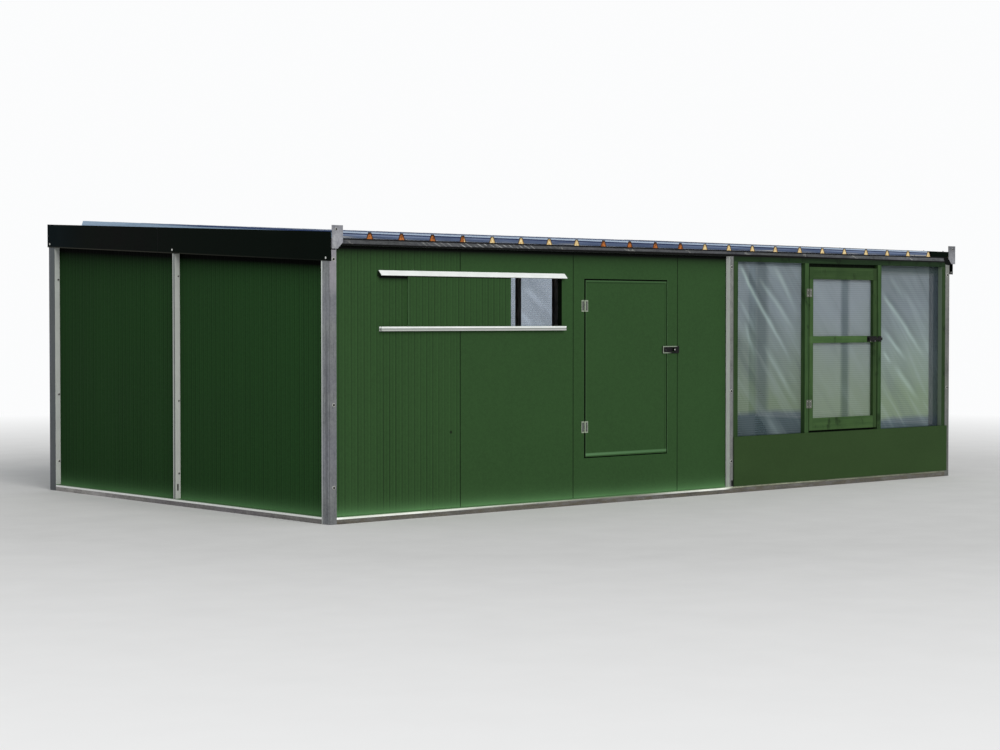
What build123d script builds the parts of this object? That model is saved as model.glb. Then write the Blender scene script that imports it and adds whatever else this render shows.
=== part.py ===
"""Poultry shed: a steel-framed insulated house with a translucent shelter beside it.

Millimetres. X runs along the front to the right, the front faces -Y and Z is up from the ground.
The origin is on the ground in the middle of the roof's outline.
"""
from build123d import *
from math import cos, radians, sin, tan
import os

# Overall frame
wall_length = 6172          # outer face to outer face of the corner posts, along the front
roof_overhang = 68          # the roof runs past the right-hand posts
depth = 3500                # front post faces to back post faces
eave_height = 1762          # underside of the roof at the front post faces
roof_pitch = 3.2            # degrees, climbing to the back

# Steel frame
post_depth = 40             # posts and eave rails, front to back
corner_width = 52           # corner post on the long walls
corner_side = 86            # corner post on the end walls
eave_rail_height = 42
purlin_height = 40
purlin_width = 40
purlin_rows = 2
house_length = 3587         # left end to the post between house and shelter
mid_post_width = 38
end_post_front = 1768       # the post in the left end, from the front
end_post_width = 27
base_rail_height = 34
base_rail_width = 80
strip_height = 12           # bright strip on the base rails, which the walls stand on

# Insulated panels of the house
panel_thickness = 40
first_panel_width = 1023    # from the corner post to the first joint
second_panel_width = 997.5
third_panel_width = 1010.5
wall_seam = 1               # joint between two panels of one node

# Window in the second panel, with a shutter that stands in a runner
window_inset = 73           # first panel joint to the window
window_width = 820
window_height = 319
window_below_eave = 224     # head of the window below the roof's underside
shutter_before_window = 509 # the shutter stands pushed this far to the left of the window
shutter_width = 855
shutter_thickness = 16
shutter_setback = 4         # shutter to panel face
shutter_lap = 7             # shutter above the top of the window
runner_before_shutter = 226
runner_past_window = 17
runner_depth = 27
runner_height = 28
runner_below_window = 2
runner_sheet = 3
hood_past_left = 3          # the hood runs past the ends of the runner
hood_past_right = 7
hood_depth = 29
hood_rise = 33              # top of the hood above the window
hood_nose = 5
hood_lip = 6
hood_sheet = 2.5

# House door in the third panel
door_inset = 110            # second panel joint to the door
door_width = 790.5
door_bottom = 320           # above the ground
door_below_eave = 229       # head of the door below the roof's underside
door_gap = 7

# Hinges, hasp and latch
knuckle_radius = 5
pin_radius = 3
pin_play = 0.05
knuckle_gap = 0.6
leaf_stand_off = 1          # knuckle to the face behind it
leaf_thickness = 3
leaf_width = 30
house_hinge_height = 79
house_hinge_low = 167       # foot of the lower hinge above the foot of the door
house_hinge_high = 139      # head of the upper hinge below the head of the door
shelter_hinge_height = 62
shelter_hinge_low = 170
shelter_hinge_high = 164
moving_clearance = 5.5
hasp_on_door = 42
hasp_past_door = 119
hasp_rise = 703             # hasp above the foot of the door
hasp_height = 51
hasp_sheet = 3
staple_past_door = 60
staple_width = 8
staple_height = 20
staple_reach = 20
slot_margin = 6
latch_on_door = 117
latch_past_door = 53
latch_rise = 5              # latch above the foot of the door's middle rail
latch_height = 44
latch_plate = 4
latch_bar_height = 22
latch_bar_thickness = 5
latch_bar_inset = 12

# Timber front of the shelter
timber_depth = 38
timber_width = 44
left_stile_width = 46
header_height = 36
foot_rail_height = 47
mid_rail_height = 43
board_top = 408             # lower boards, from the ground
board_bottom = 47
board_thickness = 9
board_lap = 16              # the front board laps this far onto the right-hand corner post
shelter_door_inset = 837    # middle post to the shelter door
shelter_door_width = 794
shelter_door_low_gap = 16
shelter_door_high_gap = 27
door_post_gap_left = 8
door_post_gap_right = 11
door_stile = 43
door_top_rail = 91
door_bottom_rail = 92
door_mid_rail_rise = 660    # middle rail above the foot of the door
door_mid_rail_height = 51
door_frame_depth = 26
pane_inset = 5              # pane to the outer edge of the door frame
sheet_thickness = 6
stop_width = 48
stop_depth = 20
stop_lap = 20               # the stops reach this far behind the door
stop_gap = 1
back_bays = 3
end_upright_first = 962     # corner post to the first upright in the right-hand end
end_upright_spacing = 1042

# Partition between house and shelter
partition_rail = 76
partition_upright = 30
partition_upright_first = 1890
partition_upright_spacing = 441
partition_end_upright = 40
partition_sheet = 4

# Roof sheets
first_rib = 310
rib_pitch = 251             # left and middle roof sheets
right_rib_pitch = 258
right_sheet_lap_step = 22   # extra pitch where the right sheet laps the middle one
ribs_per_sheet = 8
rib_foot = 56
rib_crest = 24
rib_height = 40
roof_sheet = 1.5
roof_back_overhang = 20
foam_depth = 24
foam_base = 52
foam_crest = 21
foam_height = 38

# Flashings at the two ends of the roof
barge_sheet = 3
barge_front_reach = 20
barge_back_reach = 15
left_barge_rise_front = 38  # top edge above the roof's underside
left_barge_rise_back = 5.5
left_barge_face_front = 181
left_barge_face_back = 169
barge_fold = 24
right_barge_drop = 138      # lower edge below the roof's underside
right_barge_setback = 20    # front end behind the face of the posts
capping_width = 309
capping_gap = 0.5           # capping above the rib crests
capping_lip = 43

# Plates on the two front corners that stand up past the roof
plate_thickness = 5
plate_height = 144
plate_chamfer = 40
left_plate_inset = 17
left_plate_width = 83
left_plate_drop = 65        # foot of the plate below the roof's underside
right_plate_width = 86
right_plate_drop = 54

# Places worked out from the sizes above
roof_length = wall_length + roof_overhang
x0 = -roof_length / 2
x_wall_end = x0 + wall_length
x_roof_end = x0 + roof_length
y0 = -depth / 2
y_back = y0 + depth
slope = tan(radians(roof_pitch))
x_mid = x0 + house_length
x_mid_end = x_mid + mid_post_width
wall_foot = base_rail_height + strip_height
panel_face = y0 + post_depth
panel_inside = panel_face + panel_thickness
back_inside = y_back - post_depth - panel_thickness
eave_rail_bottom = eave_height - eave_rail_height
joint_1 = x0 + corner_width + first_panel_width
joint_2 = joint_1 + second_panel_width
joint_3 = joint_2 + third_panel_width
window_left = joint_1 + window_inset
window_top = eave_height - window_below_eave
window_bottom = window_top - window_height
door_left = joint_2 + door_inset
door_right = door_left + door_width
door_top = eave_height - door_below_eave
shelter_header = eave_rail_bottom - header_height
shelter_door_left = x_mid_end + shelter_door_inset
shelter_door_right = shelter_door_left + shelter_door_width
shelter_door_bottom = board_top + shelter_door_low_gap
shelter_door_top = shelter_header - shelter_door_high_gap
right_first_rib = (x0 + first_rib + rib_pitch * 2 * ribs_per_sheet
                   + right_sheet_lap_step)
right_rib_count = int((x_roof_end - rib_foot / 2 - right_first_rib) // right_rib_pitch) + 1


def roof_under(y):
    """Height of the roof's underside at y."""
    return eave_height + slope * (y - y0)


def block(xa, xb, ya, yb, za, zb):
    """A plain block between two corners."""
    middle = Pos((xa + xb) / 2, (ya + yb) / 2, (za + zb) / 2)
    return middle * Box(xb - xa, yb - ya, zb - za)


def across(points, xa, xb):
    """A prism along X from points in the YZ plane."""
    outline = Polyline(*[(xa, y, z) for y, z in points], close=True)
    return extrude(make_face(outline), amount=xb - xa, dir=(1, 0, 0))


def along(points, ya, yb):
    """A prism along Y from points in the XZ plane."""
    outline = Polyline(*[(x, ya, z) for x, z in points], close=True)
    return extrude(make_face(outline), amount=yb - ya, dir=(0, 1, 0))


def up_to_roof(xa, xb, ya, yb, foot, drop=0.0):
    """An upright slab from a level foot to a given drop below the roof."""
    tops = [(yb, roof_under(yb) - drop), (ya, roof_under(ya) - drop)]
    return across([(ya, foot), (yb, foot)] + tops, xa, xb)


def roof_band(xa, xb, ya, yb, drop_top, drop_bottom):
    """A sloping bar between two drops below the roof."""
    low = [(ya, roof_under(ya) - drop_bottom), (yb, roof_under(yb) - drop_bottom)]
    high = [(yb, roof_under(yb) - drop_top), (ya, roof_under(ya) - drop_top)]
    return across(low + high, xa, xb)


def save(name, *solids):
    """Write one node, made of one solid or of solids that stand apart."""
    shape = solids[0] if len(solids) == 1 else Compound(children=list(solids))
    shape.label = name
    export_step(shape, f"parts/{name}.step")


def corner_post(at_right, at_back):
    """An L-shaped post: a flange on the long wall and a wider one on the end wall."""
    ya, yb = (y_back - post_depth, y_back) if at_back else (y0, y0 + post_depth)
    yc, yd = (y_back - corner_side, y_back) if at_back else (y0, y0 + corner_side)
    xa, xb = (x_wall_end - corner_width, x_wall_end) if at_right else (x0, x0 + corner_width)
    xc, xd = (x_wall_end - post_depth, x_wall_end) if at_right else (x0, x0 + post_depth)
    return up_to_roof(xa, xb, ya, yb, 0) + up_to_roof(xc, xd, yc, yd, 0)


def steel_frame():
    """Base rails, posts, eave rails, sloping cross rails and purlins."""
    rail_left = x0 + corner_width
    rail_right = x_wall_end - corner_width
    side_front = y0 + corner_side
    side_back = y_back - corner_side
    inner_front = y0 + base_rail_width
    inner_back = y_back - base_rail_width
    for name, low, high in (("base_rails", 0, base_rail_height),
                            ("sill_strips", base_rail_height, wall_foot)):
        long_rails = [block(rail_left, rail_right, y0, inner_front, low, high),
                      block(rail_left, rail_right, inner_back, y_back, low, high)]
        ends = [block(x0, x0 + base_rail_width, side_front, side_back, low, high),
                block(x_wall_end - base_rail_width, x_wall_end, side_front, side_back,
                      low, high)]
        if name == "sill_strips":
            save(name, *long_rails, *ends)
        else:
            middle = block(x_mid, x_mid_end, inner_front, inner_back, low, high)
            save("base_rails_long", *long_rails)
            save("base_rails_cross", *ends, middle)

    save("corner_post_front_left", corner_post(False, False))
    save("corner_post_front_right", corner_post(True, False))
    save("corner_posts_back", corner_post(False, True), corner_post(True, True))

    end_post = y0 + end_post_front
    back_rail_bottom = roof_under(y_back - post_depth) - eave_rail_height
    save("middle_posts",
         block(x_mid, x_mid_end, y0, panel_face, wall_foot, eave_rail_bottom),
         block(x_mid, x_mid_end, y_back - post_depth, y_back, wall_foot, back_rail_bottom),
         up_to_roof(x0, x0 + post_depth, end_post, end_post + end_post_width, wall_foot,
                    eave_rail_height))
    save("eave_rails",
         up_to_roof(rail_left, rail_right, y0, panel_face, eave_rail_bottom),
         up_to_roof(rail_left, rail_right, y_back - post_depth, y_back, back_rail_bottom))

    carried = roof_band(x_wall_end, x_roof_end, y0, y_back, 0, eave_rail_height)
    right = roof_band(x_wall_end - post_depth, x_wall_end, side_front, side_back,
                      0, eave_rail_height)
    save("roof_cross_rails",
         roof_band(x0, x0 + post_depth, side_front, side_back, 0, eave_rail_height),
         roof_band(x_mid, x_mid_end, panel_face, y_back - post_depth, 0, eave_rail_height),
         right + carried)

    purlins = []
    for row in range(1, purlin_rows + 1):
        ya = y0 + depth * row / (purlin_rows + 1) - purlin_width / 2
        yb = ya + purlin_width
        house_left = x0 + post_depth + panel_thickness
        purlins.append(roof_band(house_left, x_mid, ya, yb, 0, purlin_height))
        purlins.append(roof_band(x_mid_end, x_wall_end - post_depth, ya, yb, 0, purlin_height))
    save("roof_purlins", *purlins)


def corner_plates():
    """Plates on the front corners, each with one lower corner cut off."""
    outer = x0 + left_plate_inset
    inner = outer + left_plate_width
    low = eave_height - left_plate_drop
    left = [(outer, low), (inner - plate_chamfer, low), (inner, low + plate_chamfer),
            (inner, low + plate_height), (outer, low + plate_height)]
    outer = x_roof_end
    inner = outer - right_plate_width
    low = eave_height - right_plate_drop
    right = [(inner + plate_chamfer, low), (outer, low), (outer, low + plate_height),
             (inner, low + plate_height), (inner, low + plate_chamfer)]
    save("corner_plates", along(left, y0 - plate_thickness, y0),
         along(right, y0 - plate_thickness, y0))


def house_walls():
    """Insulated panels, with the window cut through and the doorway left open."""
    x_first = x0 + post_depth

    def panel(xa, xb, foot=wall_foot):
        return up_to_roof(xa, xb, panel_face, panel_inside, foot)

    save("front_panel_1", panel(x_first, joint_1))
    hole = block(window_left, window_left + window_width, panel_face, panel_inside,
                 window_bottom, window_top)
    save("front_panel_2", panel(joint_1, joint_2) - hole)
    left, right = door_left - door_gap, door_right + door_gap
    save("front_panel_3_left", panel(joint_2, left))
    save("front_panel_3_right", panel(right, joint_3))
    save("front_panel_3_above_and_below_door",
         block(left, right, panel_face, panel_inside, wall_foot, door_bottom - door_gap),
         panel(left, right, door_top + door_gap))
    save("front_panel_4", panel(joint_3, x_mid))

    x_inside = x_first + panel_thickness
    seam = y0 + end_post_front + end_post_width / 2
    save("left_wall_panels",
         up_to_roof(x_first, x_inside, panel_inside, seam - wall_seam / 2, wall_foot),
         up_to_roof(x_first, x_inside, seam + wall_seam / 2, back_inside, wall_foot))
    seam = x0 + house_length / 2
    outside = y_back - post_depth
    save("back_wall_panels",
         up_to_roof(x_first, seam - wall_seam / 2, back_inside, outside, wall_foot),
         up_to_roof(seam + wall_seam / 2, x_mid, back_inside, outside, wall_foot))


def window_parts():
    """A channel below the window, a folded hood above it and the shutter between."""
    face = panel_face
    outer = face - runner_depth
    sheet = runner_sheet
    high = window_bottom - runner_below_window
    low = high - runner_height
    channel = [(face, low), (face, high), (face - sheet, high), (face - sheet, low + sheet),
               (outer + sheet, low + sheet), (outer + sheet, high), (outer, high), (outer, low)]
    nose = face - hood_depth
    hood_top = window_top + hood_rise
    bend = window_top + hood_nose
    hood = [(face, hood_top), (nose, bend), (nose, bend - hood_lip),
            (nose + hood_sheet, bend - hood_lip), (nose + hood_sheet, bend - hood_sheet),
            (face, hood_top - hood_sheet)]
    shutter_left = window_left - shutter_before_window
    left = shutter_left - runner_before_shutter
    right = window_left + window_width + runner_past_window
    save("window_runners", across(channel, left, right),
         across(hood, left - hood_past_left, right + hood_past_right))
    back = face - shutter_setback
    save("window_shutter",
         block(shutter_left, shutter_left + shutter_width, back - shutter_thickness, back,
               low + sheet, window_top + shutter_lap))


def hinge(x_pin, y_face, foot, height):
    """The moving and the fixed half of a butt hinge. The fixed half carries the pin."""
    y_pin = y_face - knuckle_radius - leaf_stand_off
    third = height / 3
    edge = knuckle_radius + knuckle_gap

    def barrel(radius, low, high):
        return Pos(x_pin, y_pin, foot + (low + high) / 2) * Cylinder(radius, high - low)

    def leaf(xa, xb, low, high):
        return block(xa, xb, y_face - leaf_thickness, y_face, foot + low, foot + high)

    fixed = leaf(x_pin - leaf_width, x_pin - edge, 0, height) + barrel(pin_radius, 0, height)
    for low, high in ((0, third), (height - third, height)):
        fixed += barrel(knuckle_radius, low, high)
        fixed += leaf(x_pin - edge, x_pin, low, high)
    low, high = third + knuckle_gap, height - third - knuckle_gap
    moving = leaf(x_pin + edge, x_pin + leaf_width, 0, height) + leaf(x_pin, x_pin + edge, low, high)
    moving += barrel(knuckle_radius, low, high)
    moving -= barrel(pin_radius + pin_play, 0, height)
    return moving, fixed


def house_door():
    """A door of the same panel, with butt hinges and a hasp that drops over a staple."""
    save("house_door",
         block(door_left, door_right, panel_face, panel_inside, door_bottom, door_top))
    x_pin = door_left - door_gap / 2
    feet = (door_bottom + house_hinge_low, door_top - house_hinge_high - house_hinge_height)
    pairs = [hinge(x_pin, panel_face, foot, house_hinge_height) for foot in feet]

    strap_back = panel_face - moving_clearance
    low = door_bottom + hasp_rise
    high = low + hasp_height
    middle = low + hasp_height / 2
    strap = block(door_right - hasp_on_door, door_right, strap_back - hasp_sheet, panel_face,
                  low, high)
    strap += block(door_right, door_right + hasp_past_door, strap_back - hasp_sheet, strap_back,
                   low, high)
    xa = door_right + staple_past_door
    xb = xa + staple_width
    reach = staple_height / 2 + slot_margin
    strap -= block(xa - slot_margin, xb + slot_margin, strap_back - hasp_sheet,
                   strap_back, middle - reach, middle + reach)
    staple = block(xa, xb, panel_face - staple_reach, panel_face,
                   middle - staple_height / 2, middle + staple_height / 2)
    save("house_door_hardware", *[moving for moving, fixed in pairs], strap)
    save("house_door_fixings", *[fixed for moving, fixed in pairs], staple)
    return x_pin


def shelter_front():
    """Timber front between the middle post and the right-hand corner post."""
    left, right = x_mid_end, x_wall_end - corner_width
    back = y0 + timber_depth
    door_a = shelter_door_left - door_post_gap_left
    door_b = shelter_door_right + door_post_gap_right
    uprights = [(left, left + left_stile_width), (door_a - timber_width, door_a),
                (door_b, door_b + timber_width), (right - timber_width, right)]
    foot = wall_foot + foot_rail_height
    rails = [block(left, right, y0, back, shelter_header, eave_rail_bottom),
             block(left, right, y0, back, wall_foot, foot)]
    mid_rail = board_top - mid_rail_height
    for before, after in zip(uprights, uprights[1:]):
        rails.append(block(before[1], after[0], y0, back, mid_rail, board_top))
    save("shelter_front_rails", *rails)
    save("shelter_front_uprights", *[block(a, b, y0, back, foot, shelter_header) for a, b in uprights])

    stop_a = door_a + door_post_gap_left + stop_lap - stop_width
    stop_b = door_b - door_post_gap_right - stop_lap + stop_width
    sheet_back = back + sheet_thickness
    save("shelter_front_sheets",
         block(left, stop_a - stop_gap, back, sheet_back, mid_rail, eave_rail_bottom),
         block(stop_b + stop_gap, right, back, sheet_back, mid_rail, eave_rail_bottom))
    stop_back = back + stop_depth
    across_a = stop_a + stop_width + stop_gap
    across_b = stop_b - stop_width - stop_gap
    low = shelter_door_bottom + stop_lap - stop_width
    high = shelter_door_top - stop_lap + stop_width
    save("shelter_door_stops",
         block(stop_a, stop_a + stop_width, back, stop_back, mid_rail, eave_rail_bottom),
         block(stop_b - stop_width, stop_b, back, stop_back, mid_rail, eave_rail_bottom),
         block(across_a, across_b, back, stop_back, low, low + stop_width),
         block(across_a, across_b, back, stop_back, high - stop_width, high))


def shelter_rear():
    """The back and right-hand walls of the shelter, built like its front."""
    left, right = x_mid_end, x_wall_end - corner_width
    back_rail_bottom = roof_under(y_back - post_depth) - eave_rail_height
    header = back_rail_bottom - header_height
    foot = wall_foot + foot_rail_height
    mid_rail = board_top - mid_rail_height
    inner = y_back - timber_depth
    step = (right - left - timber_width) / back_bays
    uprights = [(left + step * bay, left + step * bay + timber_width)
                for bay in range(back_bays + 1)]
    rails = [block(left, right, inner, y_back, header, back_rail_bottom),
             block(left, right, inner, y_back, wall_foot, foot)]
    for before, after in zip(uprights, uprights[1:]):
        rails.append(block(before[1], after[0], inner, y_back, mid_rail, board_top))
    posts = [block(a, b, inner, y_back, foot, header) for a, b in uprights]
    sheets = [block(left, right, inner - sheet_thickness, inner, mid_rail, back_rail_bottom)]

    front, back = y0 + corner_side, y_back - corner_side
    inner = x_wall_end - timber_depth
    drop = eave_rail_height + header_height
    first = front + end_upright_first
    uprights = [(y, y + timber_width)
                for y in (front, first, first + end_upright_spacing, back - timber_width)]
    rails.append(roof_band(inner, x_wall_end, front, back, eave_rail_height, drop))
    rails.append(block(inner, x_wall_end, front, back, wall_foot, foot))
    for before, after in zip(uprights, uprights[1:]):
        rails.append(block(inner, x_wall_end, before[1], after[0], mid_rail, board_top))
    posts += [up_to_roof(inner, x_wall_end, a, b, foot, drop) for a, b in uprights]
    sheets.append(up_to_roof(inner - sheet_thickness, inner, front, back, mid_rail,
                             eave_rail_height))
    save("shelter_rear_rails", *rails)
    save("shelter_rear_uprights", *posts)
    save("shelter_rear_sheets", *sheets)

    end_inset = corner_width - board_lap
    board_right = right + board_lap
    save("shelter_lower_boards",
         block(left, board_right, y0 - board_thickness, y0, board_bottom, board_top),
         block(left, board_right, y_back, y_back + board_thickness, board_bottom, board_top),
         block(x_wall_end, x_wall_end + board_thickness, y0 + end_inset, y_back - end_inset,
               board_bottom, board_top))


def shelter_door():
    """A timber door frame with a translucent pane behind it, two hinges and a latch."""
    left, right = shelter_door_left, shelter_door_right
    back = y0 + door_frame_depth
    frame = block(left, right, y0, back, shelter_door_bottom, shelter_door_top)
    mid_rail = shelter_door_bottom + door_mid_rail_rise
    panes = ((shelter_door_bottom + door_bottom_rail, mid_rail),
             (mid_rail + door_mid_rail_height, shelter_door_top - door_top_rail))
    for low, high in panes:
        frame -= block(left + door_stile, right - door_stile, y0, back, low, high)
    save("shelter_door_frame", frame)
    save("shelter_door_pane",
         block(left + pane_inset, right - pane_inset, back, back + sheet_thickness,
               shelter_door_bottom + pane_inset, shelter_door_top - pane_inset))

    x_pin = left - door_post_gap_left / 2
    feet = (shelter_door_bottom + shelter_hinge_low,
            shelter_door_top - shelter_hinge_high - shelter_hinge_height)
    pairs = [hinge(x_pin, y0, foot, shelter_hinge_height) for foot in feet]
    low = mid_rail + latch_rise
    high = low + latch_height
    bar_low = low + (latch_height - latch_bar_height) / 2
    bar_high = bar_low + latch_bar_height
    latch_left = right - latch_on_door
    latch_right = right + latch_past_door
    bar_left = latch_left + latch_bar_inset
    plate_right = right - moving_clearance
    bar_back = y0 - latch_plate - moving_clearance
    latch = block(latch_left, plate_right, y0 - latch_plate, y0, low, high)
    latch += block(bar_left, plate_right, bar_back, y0 - latch_plate, bar_low, bar_high)
    latch += block(bar_left, latch_right, bar_back - latch_bar_thickness, bar_back,
                   bar_low, bar_high)
    post = right + door_post_gap_right
    keep = block(post + moving_clearance, latch_right, y0 - latch_plate, y0, low, high)
    save("shelter_door_hardware", *[moving for moving, fixed in pairs], latch)
    save("shelter_door_fixings", *[fixed for moving, fixed in pairs], keep)
    return x_pin


def partition():
    """Timber frame between the two bays, with translucent sheet on its shelter side."""
    front, back = y0 + base_rail_width, y_back - base_rail_width
    foot = base_rail_height + partition_rail
    drop = eave_rail_height + partition_rail
    save("partition_rails",
         block(x_mid, x_mid_end, front, back, base_rail_height, foot),
         roof_band(x_mid, x_mid_end, front, back, eave_rail_height, drop))
    first = y0 + partition_upright_first
    uprights = [up_to_roof(x_mid, x_mid_end, y, y + partition_upright, foot, drop)
                for y in (first, first + partition_upright_spacing)]
    for ya in (panel_face, y_back - post_depth - partition_end_upright):
        uprights.append(up_to_roof(x_mid, x_mid_end, ya, ya + partition_end_upright,
                                   wall_foot, eave_rail_height))
    save("partition_uprights", *uprights)
    save("partition_sheet",
         up_to_roof(x_mid_end, x_mid_end + partition_sheet, front, back, base_rail_height,
                    eave_rail_height))


def trapezoid(middle, base, crest, height):
    """The outline of a rib, from its left foot over the crest to its right foot."""
    return [(middle - base / 2, 0), (middle - crest / 2, height),
            (middle + crest / 2, height), (middle + base / 2, 0)]


def roof():
    """Box-profile sheets with foam fillers under the ribs at the front."""
    run = depth + roof_back_overhang
    uphill = (0, cos(radians(roof_pitch)), sin(radians(roof_pitch)))
    length = run / cos(radians(roof_pitch))
    ribs = [x0 + first_rib + rib_pitch * number for number in range(2 * ribs_per_sheet)]
    ribs += [right_first_rib + right_rib_pitch * number for number in range(right_rib_count)]
    names = ("roof_sheet_left", "roof_sheet_middle", "roof_sheet_right")
    for number, name in enumerate(names):
        last = number == len(names) - 1
        start = number * ribs_per_sheet
        end = start + ribs_per_sheet
        group = ribs[start:] if last else ribs[start:end]
        xa = x0 if number == 0 else (ribs[start - 1] + ribs[start]) / 2
        xb = x_roof_end if last else (ribs[end - 1] + ribs[end]) / 2
        under = [(xa, 0)]
        over = [(xa, roof_sheet)]
        for rib in group:
            under += trapezoid(rib, rib_foot - 2 * roof_sheet, rib_crest, rib_height)
            over += [(x, z + roof_sheet)
                     for x, z in trapezoid(rib, rib_foot, rib_crest + roof_sheet, rib_height)]
        under.append((xb, 0))
        over.append((xb, roof_sheet))
        points = [(x, y0, eave_height + z) for x, z in under + over[::-1]]
        profile = make_face(Polyline(*points, close=True))
        save(name, extrude(profile, amount=length, dir=uphill))

    fillers = []
    for rib in ribs:
        wedge = trapezoid(rib, foam_base, foam_crest, foam_height)
        profile = make_face(Polyline(*[(x, y0, eave_height + z) for x, z in wedge], close=True))
        fillers.append(extrude(profile, amount=foam_depth, dir=uphill))
    save("eave_foam_fillers", *fillers)


def barge_flashings():
    """Deep folded flashings that close the two ends of the roof."""
    ya, yb = y0 - barge_front_reach, y_back + barge_back_reach
    top_a = roof_under(y0) + left_barge_rise_front
    top_b = roof_under(yb) + left_barge_rise_back
    left = across([(ya, top_a - left_barge_face_front), (yb, top_b - left_barge_face_back),
                   (yb, top_b), (ya, top_a)], x0 - barge_sheet, x0)
    rise = (top_b - top_a) / (yb - ya)
    fold_a, fold_b = top_a + rise * (y0 - ya), top_a + rise * (y_back - ya)
    left += across([(y0, fold_a - roof_sheet), (y_back, fold_b - roof_sheet),
                    (y_back, fold_b), (y0, fold_a)], x0 - barge_sheet, x0 + barge_fold)

    end = x_roof_end
    crest = rib_height + roof_sheet + capping_gap
    top = crest + roof_sheet
    right = roof_band(end, end + barge_sheet, y0 + right_barge_setback, yb, -top,
                      right_barge_drop)
    right += roof_band(end - capping_width, end + barge_sheet, y0, y_back, -top, -crest)
    right += block(end - capping_width, end - right_plate_width, y0 - roof_sheet, y0,
                   eave_height + top - capping_lip, eave_height + top)
    save("barge_flashings", left, right)


os.makedirs("parts", exist_ok=True)
steel_frame()
corner_plates()
house_walls()
window_parts()
house_axis = house_door()
shelter_front()
shelter_rear()
shelter_axis = shelter_door()
partition()
roof()
barge_flashings()
pin_front = knuckle_radius + leaf_stand_off
print("house door axis", house_axis, panel_face - pin_front)
print("shelter door axis", shelter_axis, y0 - pin_front)
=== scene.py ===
"""The look of the poultry shed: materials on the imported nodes, fasteners, seals and small trim."""
from math import cos, pi, radians, sin

import bmesh
import bpy
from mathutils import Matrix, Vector


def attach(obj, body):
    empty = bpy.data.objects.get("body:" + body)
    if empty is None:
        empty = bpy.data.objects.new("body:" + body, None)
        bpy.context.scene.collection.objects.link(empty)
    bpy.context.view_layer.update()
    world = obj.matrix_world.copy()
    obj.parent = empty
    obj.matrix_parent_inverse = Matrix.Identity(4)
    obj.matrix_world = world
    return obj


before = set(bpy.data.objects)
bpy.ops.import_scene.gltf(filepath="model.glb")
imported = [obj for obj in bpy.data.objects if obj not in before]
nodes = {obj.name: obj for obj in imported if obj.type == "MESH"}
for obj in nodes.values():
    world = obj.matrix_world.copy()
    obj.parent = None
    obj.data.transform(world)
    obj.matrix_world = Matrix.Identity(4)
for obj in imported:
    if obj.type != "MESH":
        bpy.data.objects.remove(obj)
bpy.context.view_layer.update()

# The roof's underside and the flashings' lower edge, both rising from the front, in metres
EAVE = 1.762
ROOF_FRONT = -1.75
SLOPE = 0.05591
BARGE_LOW = 1.619
BARGE_FRONT = -1.77
BARGE_SLOPE = 0.04979

# Ribs of the first two roof sheets and of the last one: first place, pitch and number, in mm
RIBS = (-2810, 251, 16)
LAST_RIBS = (1228, 258, 7)

# Front faces, the panels' foot and the lower ends of the hinges, in mm
POST_FACE = -1750
PANEL_FACE = -1710
PANEL_FOOT = 46
HOUSE_HINGES = (487, 1315)
SHELTER_HINGES = (594, 1431)

# Where the house's sill gives way to the shelter's, the pane and level rails of the shelter's
# door, and the pitch of the sheets' flutes, in metres
HOUSE_END = (0.42, 0.5)
DOOR_OPENING = (1.386, 2.092)
DOOR_RAILS = ((0.424, 0.516), (1.084, 1.135), (1.566, 1.657))
FLUTE_PITCH = 0.016

# Directions out of the shed's faces, and the backdrop's colour
FRONT = (0, -1, 0)
BACK = (0, 1, 0)
BACKDROP = (0.97, 0.975, 0.98, 1)


def roof_under(y):
    """Height of the roof's underside at y, in metres."""
    return EAVE + SLOPE * (y - ROOF_FRONT)


def placed(name, data):
    """A new object in the scene."""
    made = bpy.data.objects.new(name, data)
    bpy.context.scene.collection.objects.link(made)
    return made


# Node helpers

def linear(rgb, lift=1.0):
    """An sRGB colour in 0 to 255 as linear light, brightened by lift."""
    out = []
    for c in rgb:
        c = min(c * lift, 255) / 255
        out.append(c / 12.92 if c <= 0.04045 else ((c + 0.055) / 1.055) ** 2.4)
    return (*out, 1.0)


def stretched(axis, along, across):
    """Noise scales for a grain that runs along an axis."""
    return tuple(along if name == axis else across for name in "xyz")


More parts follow.
